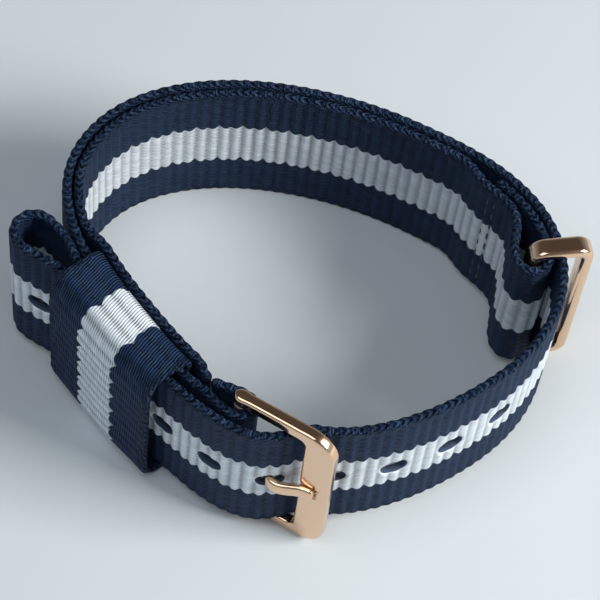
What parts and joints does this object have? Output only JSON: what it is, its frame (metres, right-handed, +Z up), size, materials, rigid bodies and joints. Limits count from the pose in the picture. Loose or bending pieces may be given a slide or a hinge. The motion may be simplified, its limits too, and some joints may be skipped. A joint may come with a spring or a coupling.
{
  "type": "watch strap",
  "caption": "Striped nylon watch strap buckled into a closed loop, with a hinged metal buckle, a fabric keeper round the folded tail and a metal ring that holds the under strap",
  "frame": {"origin": "on the surface that the strap stands on, under the middle of its bounding box", "axes": "+Z is up, along the webbing's width, and is the direction the wrist goes through; X is along the loop's longer side; the buckle is at the front, towards -Y"},
  "size_m": [0.0636, 0.0476, 0.0239],
  "materials": {
    "long_webbing": "ribbed nylon webbing, navy with a white middle stripe",
    "short_webbing": "ribbed nylon webbing, navy with a white middle stripe",
    "keeper_webbing": "ribbed nylon webbing, navy with a white middle stripe",
    "thread": "navy sewing thread",
    "rose_gold": "polished rose-gold plating",
    "steel": "plain turned steel"
  },
  "bodies": {
    "strap": {"long_strap": "long_webbing", "short_strap": "short_webbing", "fabric_keeper": "keeper_webbing", "hinge_bar_tube": "steel", "hinge_bar_spring": "steel", "hinge_bar_tip_lower": "steel", "fold_stitches": "thread", "junction_stitches": "thread", "ring_fold_stitches": "thread", "keeper_stitches": "thread"},
    "frame": {"buckle_frame": "rose_gold"},
    "tongue": {"buckle_tongue": "rose_gold"},
    "upper_tip": {"hinge_bar_tip_upper": "steel"},
    "ring": {"metal_ring": "rose_gold"}
  },
  "joints": [
    {"name": "buckle_swing", "type": "hinge", "parent": "strap", "child": "frame", "pos_m": [-0.00384, -0.01862, 0.012], "axis": [0, 0, -1], "range_deg": [-1, 3]},
    {"name": "tongue_swing", "type": "hinge", "parent": "frame", "child": "tongue", "pos_m": [-0.00384, -0.01862, 0.012], "axis": [0, 0, -1], "range_deg": [0, 2]},
    {"name": "ring_swing", "type": "hinge", "parent": "strap", "child": "ring", "pos_m": [0.02532, 0.00477, 0.0115], "axis": [0, 0, 1], "range_deg": [-8, 8]},
    {"name": "upper_tip_press", "type": "slide", "parent": "strap", "child": "upper_tip", "axis": [0, 0, -1], "range_m": [0, 0.00085], "stiffness_N_per_m": 900, "springref_m": -0.0012, "deforming": ["hinge_bar_spring"]}
  ]
}
